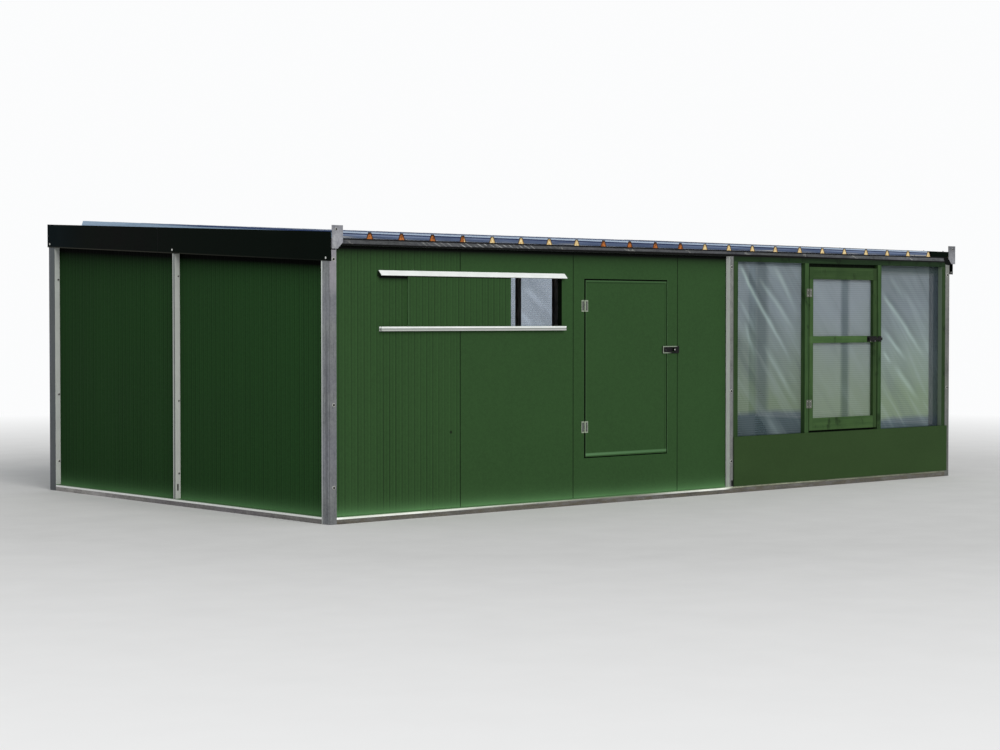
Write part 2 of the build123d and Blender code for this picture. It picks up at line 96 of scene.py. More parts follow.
class Paint:
    """One material with its node tree and short names for the nodes it needs."""

    def __init__(self, name, rough=0.6, metallic=0.0, shine=0.25):
        self.material = bpy.data.materials.new(name)
        self.material.use_nodes = True
        self.tree = self.material.node_tree
        self.tree.nodes.clear()
        self.shader = self.node("BsdfPrincipled", Roughness=rough, Metallic=metallic)
        self.shader.inputs["Specular IOR Level"].default_value = shine
        self.out = self.node("OutputMaterial", Surface=self.shader.outputs[0])
        self.coords = self.node("TexCoord").outputs["Object"]
        self.x, self.y, self.z = self.node("SeparateXYZ", Vector=self.coords).outputs
        normal = self.node("TexCoord").outputs["Normal"]
        self.nx, self.ny, self.nz = self.node("SeparateXYZ", Vector=normal).outputs

    def node(self, kind, **sockets):
        """A new node with a value or a link in each socket named."""
        n = self.tree.nodes.new("ShaderNode" + kind)
        for name, value in sockets.items():
            self.put(value, n.inputs[name])
        return n

    def link(self, a, b):
        self.tree.links.new(a, b)

    def put(self, value, socket):
        if isinstance(value, bpy.types.NodeSocket):
            self.link(value, socket)
        else:
            socket.default_value = value

    def math(self, operation, *values, clamp=False):
        n = self.node("Math")
        n.operation = operation
        n.use_clamp = clamp
        for value, socket in zip(values, n.inputs):
            self.put(value, socket)
        return n.outputs[0]

    def add(self, *values, clamp=False):
        return self.math("ADD", *values, clamp=clamp)

    def minus(self, *values, clamp=False):
        return self.math("SUBTRACT", *values, clamp=clamp)

    def times(self, *values, clamp=False):
        return self.math("MULTIPLY", *values, clamp=clamp)

    def both(self, first, *others):
        """The product of two or more shares."""
        for other in others:
            first = self.times(first, other)
        return first

    def either(self, first, *others):
        """The largest of two or more shares."""
        for other in others:
            first = self.math("MAXIMUM", first, other)
        return first

    def scaled(self, scale, move):
        """The shed's coordinates in metres, times one scale or one for each axis."""
        if not isinstance(scale, tuple):
            scale = (scale,) * 3
        return self.node("Mapping", Vector=self.coords, Scale=scale, Location=move).outputs[0]

    def noise(self, scale, detail=4.0, rough=0.55, warp=0.0, move=(0, 0, 0)):
        """Soft noise at a scale, or over another node's vector."""
        over = isinstance(scale, bpy.types.NodeSocket)
        vector = scale if over else self.scaled(scale, move)
        return self.node("TexNoise", Vector=vector, Scale=1.0, Detail=detail, Roughness=rough,
                         Distortion=warp).outputs["Fac"]

    def cells(self, scale):
        """Flat spots of random grey."""
        spots = self.node("TexVoronoi", Vector=self.coords, Scale=scale).outputs["Color"]
        return self.node("RGBToBW", Color=spots).outputs[0]

    def span(self, value, a, b, c=0.0, d=1.0):
        """Value from a to b as c to d, held at both ends."""
        n = self.node("MapRange", Value=value)
        for socket, number in zip(("From Min", "From Max", "To Min", "To Max"), (a, b, c, d)):
            n.inputs[socket].default_value = number
        return n.outputs[0]

    def drop(self, value, a, b):
        """1 up to a, falling to 0 at b."""
        return self.span(value, a, b, 1.0, 0.0)

    def swing(self, noise, c=0.0, d=1.0):
        """Most of a noise's reach as c to d."""
        return self.span(noise, 0.3, 0.7, c, d)

    def mix(self, share, a, b):
        n = self.node("Mix")
        n.data_type = "RGBA"
        self.put(share, n.inputs[0])
        self.put(a, n.inputs[6])
        self.put(b, n.inputs[7])
        return n.outputs[2]

    def tones(self, value, a, b, first, second):
        """A blend of two sRGB colours as value goes from a to b."""
        return self.mix(self.span(value, a, b), linear(first), linear(second))

    def coat(self, colour, share, tone, lift=1.0):
        """The colour with an sRGB tone over it where share is 1."""
        return self.mix(share, colour, linear(tone, lift))

    def gain(self, colour, share, factor):
        """The colour made lighter or darker by factor where share is 1."""
        n = self.node("VectorMath")
        n.operation = "SCALE"
        self.put(colour, n.inputs[0])
        self.put(self.math("MULTIPLY_ADD", share, factor - 1.0, 1.0), n.inputs["Scale"])
        return n.outputs[0]

    def lines(self, value, pitch, width):
        """1 on thin lines at a regular pitch, 0 between them."""
        share = self.math("FRACT", self.math("DIVIDE", value, pitch))
        return self.near(share, 0.5, 0.5 * width / pitch)

    def near(self, value, place, reach):
        """1 at a place along value, falling to 0 at the given reach."""
        away = self.math("ABSOLUTE", self.minus(value, place))
        return self.drop(away, reach * 0.4, reach)

    def within(self, value, a, b, soft=0.001):
        """1 between a and b with soft ends."""
        return self.both(self.span(value, a - soft, a + soft), self.drop(value, b - soft, b + soft))

    def fade(self, away, reach):
        """1 where away is 0 or less, dying out over about the given reach."""
        share = self.times(-1.0, self.math("DIVIDE", away, reach))
        return self.math("MINIMUM", self.math("EXPONENT", share), 1.0)

    def dot(self, a, b, place, radius):
        """1 inside a small round spot at a place in two coordinates."""
        aside = self.math("POWER", self.minus(a, place[0]), 2.0)
        above = self.math("POWER", self.minus(b, place[1]), 2.0)
        away = self.math("SQRT", self.add(aside, above))
        return self.drop(away, radius * 0.8, radius * 1.1)

    def faces(self, axis, sign):
        """1 where the surface faces along an axis."""
        return self.span(self.times(axis, float(sign)), 0.5, 0.8)

    def blend(self, share, first, second):
        """A mix of two shaders."""
        n = self.node("MixShader")
        self.put(share, n.inputs[0])
        self.link(first.outputs[0], n.inputs[1])
        self.link(second.outputs[0], n.inputs[2])
        return n

    def rising(self, front, low, slope):
        """Height of a line that stands at low at the front and rises towards the back."""
        return self.math("MULTIPLY_ADD", self.y, slope, low - front * slope)

    def bump(self, *layers):
        """Stacked bumps, each a height value and its depth in metres."""
        normal = None
        for height, depth in layers:
            n = self.node("Bump", Strength=1.0, Distance=depth, Height=height)
            if normal is not None:
                self.link(normal, n.inputs["Normal"])
            normal = n.outputs[0]
        self.link(normal, self.shader.inputs["Normal"])

    def finish(self, colour, rough=None):
        """Set the colour, and the roughness where it varies, and give the material."""
        self.put(colour, self.shader.inputs["Base Color"])
        if rough is not None:
            self.put(rough, self.shader.inputs["Roughness"])
        return self.material


# Zinc

def zinc_steel(name, tone, bright, dark, along, marks=None, end=1.0):
    """Dull zinc: spangles, cloudy patches, blotches and stains, with left faces lightened by end as
    a painted highlight.
    """
    p = Paint(name, metallic=0.1, shine=0.12)
    cloud = p.noise(7, detail=6, rough=0.65)
    stain = p.noise(stretched(along, 5, 75), detail=5, rough=0.7, warp=0.4)
    brown = p.noise(stretched(along, 9, 30), detail=7, rough=0.7, move=(3, 7, 1))
    spangle = p.cells(95)
    c = p.tones(cloud, 0.36, 0.66, tone, bright)
    c = p.coat(c, p.span(stain, 0.5, 0.7, 0, 0.8), dark)
    c = p.coat(c, p.span(brown, 0.56, 0.7, 0, 0.5), dark, 1.08)
    bluish = (bright[0], bright[1] * 0.97, bright[2] * 1.1)
    c = p.coat(c, p.span(p.noise(3, detail=2), 0.4, 0.65, 0, 0.25), bluish)
    c = p.coat(c, p.span(spangle, 0.2, 0.8, 0, 0.14), bright, 1.35)
    # Painted highlight: left faces lightened by end
    if end != 1.0:
        c = p.gain(c, p.faces(p.nx, -1), end)
    if marks:
        c = marks(p, c, cloud)
    p.bump((cloud, 0.0006), (spangle, 0.0002))
    return p.finish(c, p.swing(cloud, 0.45, 0.7))


def corner_marks(p, c, cloud):
    """A painted highlight along the left face's back edge, a dark arris and inner column, a lighter
    head below the plate, and a painted shadow under the plate.
    """
    left, front = p.faces(p.nx, -1), p.faces(p.ny, -1)
    column = p.span(p.noise((20, 20, 3), detail=5, rough=0.7), 0.35, 0.6, 0, 0.6)
    inner = p.both(left, p.near(p.y, -1.717, 0.018), column, p.span(p.z, 0.9, 1.3, 1, 0.35))
    c = p.coat(c, inner, (84, 86, 92))
    # Painted highlight along the back edge of the left face
    edge_highlight = p.both(left, p.near(p.y, -1.668, 0.009), p.span(p.z, 0.6, 1.4, 0.4, 0.9))
    c = p.coat(c, edge_highlight, (232, 238, 232))
    c = p.coat(c, p.both(left, p.span(p.y, -1.749, -1.741, 0.7, 0)), (84, 86, 88))
    head = p.both(front, p.span(p.z, 1.40, 1.56), p.span(cloud, 0.35, 0.6, 0.3, 0.9))
    c = p.coat(c, head, (152, 148, 156))
    # Painted shadow under the plate's lower edge
    plate_shadow = p.both(front, p.within(p.z, 1.690, 1.697), p.within(p.x, -3.108, -3.073, 0.002))
    return p.coat(c, plate_shadow, (24, 24, 26))


def middle_marks(p, c, cloud):
    """Returns lightened as a painted highlight, a dark joint beside them and a slot near each foot.
    """
    end, middle = p.drop(p.x, -3.0, -2.9), p.span(p.x, 0.3, 0.31)
    left, front = p.faces(p.nx, -1), p.faces(p.ny, -1)
    # Painted highlight: the returns take a light tone, varied by the cloud
    clean_and_lit = (206, 209, 204)
    wear_and_sheen = p.swing(cloud, 1.0, 0.8)
    c = p.coat(c, p.both(middle, left, wear_and_sheen), (246, 248, 245))
    c = p.coat(c, p.both(end, front, wear_and_sheen), clean_and_lit)
    c = p.coat(c, p.both(end, left, p.span(p.y, 0.032, 0.036), wear_and_sheen), clean_and_lit)
    c = p.coat(c, p.both(end, left, p.drop(p.y, 0.030, 0.033)), (112, 116, 116))
    c = p.coat(c, p.both(middle, front, p.span(p.x, 0.496, 0.502), 0.6), (52, 56, 50))
    slot = p.both(end, front, p.within(p.z, 0.100, 0.146, 0.003),
                  p.within(p.x, -3.107, -3.095, 0.002))
    foot = p.both(middle, front, p.within(p.z, 0.05, 0.092, 0.002),
                  p.within(p.x, 0.484, 0.503, 0.002))
    return p.coat(c, p.either(slot, foot), (14, 14, 15))


def back_marks(p, c, cloud):
    """The return beside the end wall is lightened as a painted highlight, and the outer face darker
    beside it.
    """
    end = p.drop(p.x, -3.0, -2.9)
    # Painted highlight on the return
    inner = p.both(end, p.faces(p.ny, -1), p.swing(cloud, 1.0, 0.8))
    c = p.coat(c, inner, (204, 208, 203))
    side = p.both(end, p.faces(p.nx, -1), p.span(p.y, 1.715, 1.735, 0.7, 0))
    return p.coat(c, side, (92, 97, 98))


def right_marks(p, c, cloud):
    """The post is lighter near its head, with a dark outer edge."""
    c = p.gain(c, p.span(p.z, 1.2, 1.6), 1.35)
    return p.coat(c, p.span(p.x, 3.044, 3.050, 0, 0.4), (60, 62, 56))


def plate_marks(p, c, cloud):
    """The plates are greyer towards the top, and the right one all over."""
    c = p.gain(c, p.span(p.x, -1, 1), 0.74)
    return p.gain(c, p.span(p.z, 1.76, 1.84), 0.64)


def eave_marks(p, c, cloud):
    """Painted shade along the upper and lower edges, and slanting scrapes over the first panels."""
    front = p.faces(p.ny, -1)
    run = p.add(p.x, p.times(p.z, 2.1))
    wave = p.noise(5, detail=2, move=(2, 0, 1))
    scrape = p.lines(p.add(run, p.times(wave, 0.09)), 0.052, 0.018)
    rub = p.noise((12, 12, 50), detail=5)
    zone = p.both(p.within(p.x, -2.30, -1.40, 0.22), front)
    c = p.coat(c, p.both(zone, scrape, p.span(rub, 0.42, 0.62, 0, 0.9)), (176, 177, 176))
    few = p.lines(p.add(run, p.times(cloud, 0.5)), 0.61, 0.04)
    c = p.coat(c, p.both(front, few, p.span(rub, 0.4, 0.6, 0, 0.7)), (140, 140, 136))
    c = p.gain(c, p.both(front, p.span(p.x, 1.2, 2.6)), 1.5)
    # Painted shade along the top, in the gap under the roof
    upper = p.add(p.z, p.times(wave, 0.004))
    c = p.coat(c, p.both(front, p.span(upper, 1.7525, 1.757)), (14, 15, 17))
    # Painted shade along the rail's lower edge
    lower = p.minus(p.z, p.both(p.within(p.x, -1.4, 1.6, 0.8), 0.006))
    return p.coat(c, p.both(front, p.drop(lower, 1.7275, 1.7325)), (1, 2, 1))


def base_marks(p, c, cloud):
    """Earth splashed on the rail, and the light drip edge of the sill along its top."""
    dirt = p.noise((14, 14, 60), detail=7, rough=0.7)
    c = p.coat(c, p.span(dirt, 0.42, 0.62, 0, 0.7), (84, 78, 62))
    bright = p.minus(1.0, p.both(p.within(p.x, -2.0, -0.6, 0.3), 0.85))
    lip = p.both(p.span(p.z, 0.0275, 0.0295), p.drop(p.x, *HOUSE_END), house_clean(p), bright)
    return p.coat(c, lip, (244, 247, 242))


def end_base_marks(p, c, cloud):
    """The end rail is paler towards the back, with the same drip edge."""
    c = p.gain(c, p.span(p.y, 0.2, 1.2), 1.8)
    return p.coat(c, p.span(p.z, 0.0275, 0.0295), (246, 248, 244))


def house_clean(p):
    """How clean the sill is along the front: white at both ends, dull between."""
    fall = p.span(p.x, -2.4, -0.8, 1, 0.16)
    rise = p.span(p.x, -0.5, 0.2, 0, 0.75)
    wave = p.span(p.noise(4, detail=3), 0.35, 0.65, 0.8, 1.1)
    return p.times(p.add(fall, rise), wave, clamp=True)


# Panels

def green_panel(name, ribs="", top=(41, 67, 36), face="y", outward=-1, edge=(10, 16, 9),
                rib=1.0, shine=0.06, marks=None):
    """Coated panel: satin green outside, pale liner inside, dark cut edges, a painted reflection of
    the ground along the foot, and painted shade under the roof's edge.
    """
    p = Paint(name, rough=0.5, shine=shine)
    fine = p.noise(170, detail=2)
    weave = p.noise(60, detail=3)
    patch = p.noise((1.4, 1.4, 2.1), detail=5, rough=0.6)
    streak = p.noise((16, 16, 0.8), detail=4)
    c = p.mix(p.swing(patch), linear(top, 0.97), linear(top, 1.04))
    c = p.coat(c, p.span(streak, 0.5, 0.75, 0, 0.25), top, 0.9)
    c = p.coat(c, p.span(weave, 0.38, 0.62, 0, 0.45), top, 1.12)
    c = p.coat(c, p.span(fine, 0.4, 0.62, 0, 0.3), top, 1.2)
    across = {"x": p.x, "y": p.y}.get(ribs)
    layers = [(fine, 0.0002)]
    if across is not None:
        pitch = 0.05
        # Painted shade darkens each rib's groove, and a painted highlight lightens the strip beside
        # it
        groove = p.lines(across, pitch, 0.012)
        beside = p.lines(p.add(across, 0.009), pitch, 0.01)
        faint = p.lines(p.add(across, pitch / 2), pitch, 0.01)
        vary = p.span(p.noise((9, 9, 0.4), detail=2), 0.35, 0.65, 0.2 * rib, 0.7 * rib)
        c = p.coat(c, p.both(groove, vary), top, 0.62)
        c = p.coat(c, p.both(faint, vary, 0.45), top, 0.7)
        c = p.coat(c, p.both(beside, 0.25 * rib), top, 1.3)
        layers.append((p.minus(1.0, groove), 0.0008 * rib))
    if marks:
        c = marks(p, c)
    # Painted reflection of the ground: lighter green along the foot
    glow = p.fade(p.minus(p.z, PANEL_FOOT / 1000), 0.030)
    c = p.coat(c, p.both(glow, p.swing(patch, 0.52, 0.78)), (104, 152, 100))
    if face == "x":
        edge_line = p.rising(BARGE_FRONT, BARGE_LOW, BARGE_SLOPE)
        below = p.minus(p.minus(edge_line, 0.026), p.z)
        shade = p.fade(below, p.span(p.y, -1.0, 1.2, 0.050, 0.085))
        c = p.gain(c, p.drop(p.y, -1.7, 1.7), 1.42)
    else:
        below = p.minus(p.minus(p.rising(ROOF_FRONT, EAVE, SLOPE), 0.060), p.z)
        shade = p.fade(below, 0.038)
    c = p.coat(c, shade, (1, 3, 1))
    facing = p.times(p.nx if face == "x" else p.ny, float(outward))
    inside = p.drop(facing, -0.9, -0.6)
    c = p.mix(inside, c, p.tones(patch, 0.3, 0.7, (176, 176, 170), (204, 204, 198)))
    side = p.drop(p.math("ABSOLUTE", facing), 0.3, 0.6)
    c = p.coat(c, p.both(side, 0.95), edge)
    p.bump(*layers)
    return p.finish(c, p.swing(patch, 0.46, 0.6))


def door_marks(p, c):
    """The leaf's folded edges: a dark rim of painted shade along the gaps, a light line inside it
    and a light lower band of painted highlight.
    """
    upright = p.both(p.near(p.x, -0.162, 0.004), p.drop(p.z, 1.515, 1.516))
    level = p.both(p.near(p.z, 1.514, 0.005), p.drop(p.x, -0.165, -0.162))
    c = p.coat(c, p.both(p.either(upright, level), 0.6), (24, 44, 22))
    light = p.either(p.within(p.x, -0.931, -0.925), p.within(p.z, 1.521, 1.529))
    c = p.coat(c, p.both(light, 0.6), (66, 96, 62))
    # Painted highlight along the leaf's foot
    band = p.both(p.within(p.z, 0.329, 0.346, 0.003), p.span(p.x, -0.93, -0.3, 0.95, 0.7))
    c = p.coat(c, band, (82, 118, 80))
    # Painted shade: a dark rim along the gaps at the top and left side
    rim = p.either(p.drop(p.x, -0.9315, -0.9305), p.span(p.z, 1.5295, 1.5305))
    return p.coat(c, rim, (8, 13, 7))


def first_marks(p, c):
    """A small scuff, and the shade of the hood's free end."""
    c = p.coat(c, p.both(p.dot(p.x, p.z, (-2.124, 0.534), 0.011), 0.8), (16, 22, 12))
    under = p.both(p.fade(p.minus(1.526, p.z), 0.012), p.drop(p.z, 1.538, 1.540))
    c = p.coat(c, p.both(under, p.within(p.x, -2.712, -2.455, 0.012)), (2, 4, 2))
    beside = p.both(p.within(p.x, -2.722, -2.702, 0.002), p.within(p.z, 1.532, 1.566, 0.003))
    return p.coat(c, p.both(beside, 0.85), (2, 4, 2))


def shutter_marks(p, c):
    """The shade of the hood along the shutter's top."""
    return p.coat(c, p.both(p.span(p.z, 1.528, 1.534), 0.85), (5, 9, 5))


# Timber and boards

def timber(name, grain, light, dark, fleck, marks=None, level=None, contrast=1.0):
    """Painted sawn timber with soft grain, darker knots and light flecks on the highs.

    Level gives an x range and z ranges where the grain runs level instead.
    """
    p = Paint(name, shine=0.07)
    fibre = p.noise(stretched(grain, 1.6, 42), detail=7, rough=0.7, warp=0.6)
    if level:
        across = p.noise(stretched("x", 1.6, 42), detail=7, rough=0.7, warp=0.6)
        zone = p.math("MINIMUM", p.within(p.x, *level[0]),
                      p.either(*[p.within(p.z, *band) for band in level[1:]]))
        fibre = p.add(p.both(fibre, p.minus(1.0, zone)), p.both(across, zone))
    patch = p.noise(5, detail=4)
    spot = p.noise((15, 15, 9), detail=3, move=(4, 2, 8))
    speck = p.noise(stretched(grain, 6.4, 168), detail=3)
    c = p.tones(fibre, 0.5 - 0.18 / contrast, 0.5 + 0.2 / contrast, dark, light)
    c = p.coat(c, p.span(patch, 0.45, 0.75, 0, 0.4), dark, 0.85)
    c = p.coat(c, p.span(spot, 0.6, 0.7, 0, 0.65), dark, 0.55)
    c = p.coat(c, p.span(speck, 0.6, 0.75, 0, 0.35), fleck)
    if marks:
        c = marks(p, c)
    p.bump((fibre, 0.0012), (speck, 0.0004))
    return p.finish(c, p.swing(fibre, 0.8, 0.6))


def header_marks(p, c):
    """The header sits in the shade of the roof."""
    return p.coat(c, p.both(p.span(p.z, 1.67, 1.715), 0.55), (12, 21, 12))


def upright_marks(p, c):
    """The two outer stiles are darker, the left one as painted shade, and the reveal of the
    right-hand one is greyed by film.
    """
    # Painted shade on the left stile
    c = p.gain(c, p.drop(p.x, 0.6, 0.7), 0.66)
    c = p.gain(c, p.span(p.x, 2.8, 2.9), 0.55)
    c = p.gain(c, p.within(p.x, 2.1, 2.3, 0.01), 0.92)
    reveal = p.both(p.span(p.x, 2.8, 2.9), p.faces(p.nx, -1))
    return p.coat(c, reveal, (116, 132, 114))


def door_frame_marks(p, c):
    """The top rail and the latch stile are darker, and the middle rail lighter."""
    c = p.gain(c, p.span(p.z, 1.560, 1.566), 0.72)
    c = p.gain(c, p.within(p.z, *DOOR_RAILS[1], 0.002), 1.25)
    return p.gain(c, p.span(p.x, 2.091, 2.094), 0.68)


def green_board(name):
    """Smooth painted board, a little cloudy."""
    p = Paint(name, rough=0.62, shine=0.07)
    patch = p.noise((2, 2, 3), detail=5)
    fine = p.noise(90, detail=3)
    c = p.tones(patch, 0.3, 0.7, (41, 61, 31), (46, 67, 36))
    c = p.coat(c, p.span(fine, 0.45, 0.7, 0, 0.2), (56, 78, 44))
    p.bump((fine, 0.0002))
    return p.finish(c, p.swing(patch, 0.55, 0.7))


# Sheets

def crease(p, along, wander, x1, z1, x2, z2, width):
    """How strongly a soft fold's painted highlight shows, and the painted shade beside it, from one
    end to the other.
    """
    length = ((x2 - x1) ** 2 + (z2 - z1) ** 2) ** 0.5
    ux, uz = (x2 - x1) / length, (z2 - z1) / length
    dx = p.minus(along, x1)
    dz = p.minus(p.z, z1)
    far = p.add(p.times(dx, ux), p.times(dz, uz))
    off = p.add(p.minus(p.times(dx, uz), p.times(dz, ux)), wander)
    ends = p.both(p.span(far, -0.02, 0.2 * length), p.drop(far, 0.55 * length, length))
    core = p.fade(p.math("POWER", off, 2.0), width * width)
    beside = p.math("POWER", p.add(off, width * 2.2), 2.0)
    return p.both(core, ends), p.both(p.fade(beside, 2.5 * width * width), ends)


def cloudy_sheet(name, solid, glow, upper, lower, foot, run="x", level=(0.55, 0.55),
                 flute=0.09, streaks=1.0, creases=(), shades=(), tint=(255, 255, 255),
                 uneven=0.0, marks=None):
    """Translucent sheet with level flutes, film creases, and painted light and shade for its folds
    and for what shows through it.
    """
    p = Paint(name, rough=0.4, shine=0.2)
    along = p.x if run == "x" else p.times(p.y, -1.0)
    flutes = p.math("SINE", p.times(p.z, 2 * pi / FLUTE_PITCH))
    drift = p.noise(2)
    rise = p.add(p.z, p.swing(drift, -0.12, 0.12))
    # Painted light: bluer above and greener below, for the sky and grass seen through the sheet
    c = p.mix(p.span(rise, 0.60, 1.35), linear(lower), linear(upper))
    # Painted shade along the foot, for the boards behind
    line = p.add(p.z, p.swing(drift, -0.015, 0.015))
    above = p.minus(line, p.span(along, 1.3, 2.1, *level))
    c = p.coat(c, p.drop(above, -0.02, 0.02), foot)
    # The film's folds run down to the right, long that way and narrow across it
    lean = radians(51)
    slide = p.minus(p.times(along, cos(lean)), p.times(p.z, sin(lean)))
    climb = p.add(p.times(along, sin(lean)), p.times(p.z, cos(lean)))
    slanted = p.node("CombineXYZ", X=p.times(slide, 0.9), Y=p.times(climb, 7.5))
    film = p.noise(slanted.outputs[0], detail=3, rough=0.5, warp=0.35)
    # Painted shade where uprights stand behind the sheet
    for place, reach, depth in shades:
        away = p.math("ABSOLUTE", p.minus(along, place))
        c = p.coat(c, p.span(away, reach * 0.5, reach * 1.3, depth, 0), (54, 76, 82))
    c = p.coat(c, p.span(film, 0.54, 0.74, 0, 0.4 * streaks), (176, 194, 196))
    c = p.coat(c, p.span(film, 0.28, 0.46, 0.45 * streaks, 0), (72, 88, 90))
    wander = p.swing(drift, -0.012, 0.012)
    amount = solid
    if uneven:
        amount = p.math("MULTIPLY_ADD", flutes, uneven, solid)
        amount = p.add(amount, p.swing(film, uneven, -uneven))
    for *ends, width, strength in creases:
        light, dark = crease(p, along, wander, *ends, width)
        # Painted shade beside each fold and a painted highlight along it
        c = p.coat(c, p.both(dark, 0.35 * strength), (66, 82, 86))
        c = p.coat(c, p.both(light, 0.6 * strength), (198, 222, 218))
        if uneven:
            amount = p.minus(amount, p.both(light, 2 * uneven), clamp=True)
    c = p.coat(c, p.span(flutes, 0.2, 1.0, 0, flute), (196, 206, 210))
    c = p.coat(c, p.span(flutes, -1.0, -0.2, flute, 0), (60, 70, 76))
    if marks:
        c = marks(p, c)
    p.bump((flutes, 0.0004), (film, 0.003))
    p.finish(c, p.swing(film, 0.3, 0.5))
    back = p.node("BsdfTranslucent", Color=c)
    clear = p.node("BsdfTransparent", Color=linear(tint))
    whole = p.blend(amount, clear, p.blend(glow, p.shader, back))
    p.link(whole.outputs[0], p.out.inputs["Surface"])
    return p.material


def front_sheet_marks(p, c):
    """Light film along the left border, painted shade of an upright behind in a strip at the right,
    and painted shade under the header along the top.
    """
    c = p.coat(c, p.both(p.within(p.x, 0.552, 0.575, 0.008), 0.55), (176, 196, 180))
    right = p.span(p.x, 2.1, 2.2)
    c = p.gain(c, p.both(right, p.span(p.z, 1.25, 1.0)), 1.3)
    c = p.gain(c, p.both(right, p.span(p.z, 1.3, 1.5)), 0.86)
    # Painted shade of an upright standing behind
    strip = p.both(p.span(p.x, 2.83, 2.845), p.drop(p.x, 2.96, 2.985))
    c = p.coat(c, p.both(strip, 0.85), (50, 62, 70))
    # Painted shade under the header
    head = p.both(p.span(p.z, 1.60, 1.635), right)
    return p.coat(c, p.both(head, 0.55), (56, 72, 64))


# Roof, flashings and fillers

def roof_steel(name):
    """Blue-grey coated roof sheet: crests pale as a painted reflection of the sky, and at the eave a
    navy line of painted shade with painted glints.
    """
    p = Paint(name, metallic=0.1, shine=0.2)
    bands = p.noise((14, 0.5, 14), detail=4)
    cloud = p.noise(3, detail=6)
    height = p.minus(p.z, p.rising(ROOF_FRONT, EAVE, SLOPE))
    c = p.tones(bands, 0.35, 0.65, (80, 94, 124), (106, 122, 152))
    c = p.coat(c, p.span(cloud, 0.5, 0.75, 0, 0.3), (66, 78, 104))
    # Painted reflection of the sky: crest tops pale
    level = p.span(p.nz, 0.85, 0.95)
    steep = p.minus(1.0, level)
    c = p.mix(level, c, p.tones(cloud, 0.35, 0.65, (206, 216, 228), (176, 188, 206)))
    # At the eave: a painted reflection of the sky above a navy line of painted shade, a painted
    # sheen, painted glints and painted shade at the ribs' foot
    eave = p.both(p.drop(p.y, -1.46, -1.42), steep)
    c = p.coat(c, p.both(eave, p.span(height, 0.031, 0.034)), (206, 222, 240))
    c = p.coat(c, p.both(eave, p.within(height, 0.0245, 0.0315)), (36, 50, 92))
    sheen = p.span(p.noise((2.5, 1, 1), detail=2, move=(5, 1, 1)), 0.45, 0.6)
    c = p.coat(c, p.both(eave, p.within(height, 0.016, 0.0245, 0.003), sheen, 0.5), (176, 192, 222))
    glint = p.span(p.noise((7, 1, 1), detail=2), 0.54, 0.62, 0, 0.8)
    c = p.coat(c, p.both(eave, p.within(height, 0.004, 0.010, 0.002), glint), (226, 220, 204))
    c = p.coat(c, p.both(eave, p.drop(height, 0.002, 0.004)), (20, 22, 26))
    verge = p.both(p.drop(p.x, -2.80, -2.79), steep, p.span(p.y, -1.5, -1.4))
    c = p.mix(p.both(verge, 0.85), c, p.tones(bands, 0.35, 0.65, (142, 168, 190), (182, 206, 226)))
    streak = p.both(verge, p.span(height, 0.031, 0.034), p.drop(p.y, 0.2, 0.9))
    c = p.coat(c, streak, (34, 58, 104))
    c = p.coat(c, p.faces(p.ny, -1), (16, 20, 30))
    p.bump((bands, 0.0008))
    return p.finish(c, p.swing(cloud, 0.3, 0.45))


def black_flashing(name):
    """Black coated flashing with a lapped joint, a light lower edge and three flush rivets."""
    p = Paint(name, shine=0.02)
    cloud = p.noise(3, detail=6)
    rub = p.noise((30, 1.5, 30), detail=4)
    c = p.tones(cloud, 0.3, 0.7, (1, 9, 3), (5, 14, 8))
    c = p.coat(c, p.span(rub, 0.6, 0.8, 0, 0.3), (14, 22, 18))
    left = p.faces(p.nx, -1)
    purple = p.both(left, p.within(p.y, 0.3, 1.2, 0.4), p.span(cloud, 0.4, 0.6, 0.2, 0.8))
    c = p.coat(c, purple, (13, 11, 12))
    c = p.coat(c, p.both(left, p.span(p.y, 1.2, 1.6, 0, 0.7)), (2, 16, 22))
    above = p.minus(p.z, p.rising(BARGE_FRONT, BARGE_LOW, BARGE_SLOPE))
    lip = p.both(left, p.drop(above, 0.004, 0.008), p.span(p.y, -1.4, 0.6, 0.15, 1))
    c = p.coat(c, lip, (52, 52, 46))
    c = p.coat(c, p.both(left, p.near(p.y, 0.228, 0.005)), (2, 3, 3))
    for place in ((1.731, 1.818), (0.046, 1.734), (-1.715, 1.641)):
        c = p.coat(c, p.both(left, p.dot(p.y, p.z, place, 0.0075)), (226, 228, 222))
    p.bump((cloud, 0.0008), (p.drop(p.y, 0.226, 0.230), 0.0012))
    return p.finish(c, p.swing(cloud, 0.4, 0.55))


